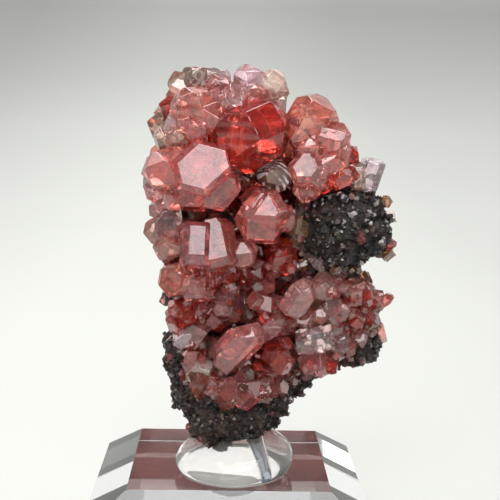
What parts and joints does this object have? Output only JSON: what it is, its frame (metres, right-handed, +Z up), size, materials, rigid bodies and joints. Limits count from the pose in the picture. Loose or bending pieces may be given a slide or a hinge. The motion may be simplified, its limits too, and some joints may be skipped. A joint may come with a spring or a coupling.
{
  "type": "rhodochrosite specimen",
  "caption": "Rose-red rhodochrosite crystals on dark manganese rock, stood in a clear gel pad on a bevelled clear acrylic block with felt under it.",
  "frame": {"origin": "centre of the felt's flat underside, below the middle of the acrylic block", "axes": "+Z up through the specimen, the crystal side faces -Y, +X to the right seen from the front"},
  "size_m": [0.0341, 0.0318, 0.0589],
  "materials": {
    "acrylic": "polished clear acrylic with polished bevels",
    "felt": "dark red felt with a short fuzzy nap",
    "gel": "clear soft gel, smooth rounded surface with faint ripples",
    "rock": "rough granular black manganese ore with brown stains and sparkling specks",
    "crystal": "glossy see-through rose-red crystal faces with fine growth steps and veils"
  },
  "bodies": {
    "root": {"base_felt": "felt", "acrylic_block": "acrylic", "gel_pad": "gel", "matrix_rock": "rock", "upper_left_crystals": "crystal", "upper_right_crystals": "crystal", "striped_crystal": "crystal", "centre_crystal": "crystal", "blade_crystals": "crystal", "left_edge_crystals": "crystal", "lower_left_crystals": "crystal", "lower_red_crystal": "crystal", "hollow_crystals": "crystal", "right_wing_crystals": "crystal"}
  },
  "joints": []
}
